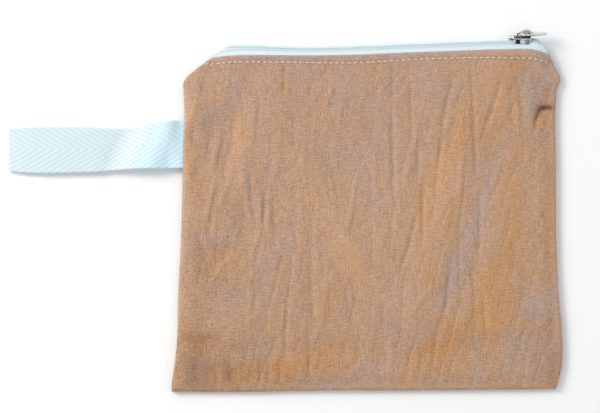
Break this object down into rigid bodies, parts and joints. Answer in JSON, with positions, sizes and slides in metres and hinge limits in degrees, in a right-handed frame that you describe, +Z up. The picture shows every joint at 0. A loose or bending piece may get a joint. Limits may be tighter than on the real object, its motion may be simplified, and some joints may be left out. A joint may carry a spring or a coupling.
{
  "type": "zip pouch",
  "caption": "Flat soft cotton toiletry bag with slanted top corners, a zip along the top edge with a metal slider and pull, and a folded herringbone-tape wrist loop on the side seam.",
  "frame": {"origin": "middle of the flat underside that the bag lies on", "axes": "+X along the zip towards the end where the slider is, +Y from the bottom seam to the zip, +Z up out of the front cloth"},
  "size_m": [0.3119, 0.2041, 0.0129],
  "materials": {
    "cotton": "plain-weave cotton, matt",
    "white_tape": "white woven tape, matt",
    "zip_nylon": "white nylon coil",
    "nickel": "nickel-plated, half polished"
  },
  "bodies": {
    "bag": {"back_panel": "cotton", "front_panel": "cotton", "front_zip_tape": "white_tape", "back_zip_tape": "white_tape", "front_coil": "zip_nylon", "back_coil": "zip_nylon", "slider_body": "nickel", "wrist_loop": "white_tape"},
    "pull": {"pull_tab": "nickel"}
  },
  "joints": [
    {"name": "pull_flip", "type": "hinge", "parent": "bag", "child": "pull", "pos_m": [0.08664, 0.10311, 0.00773], "axis": [0.0109, -0.3418, 0.9397], "range_deg": [0, 180]}
  ]
}
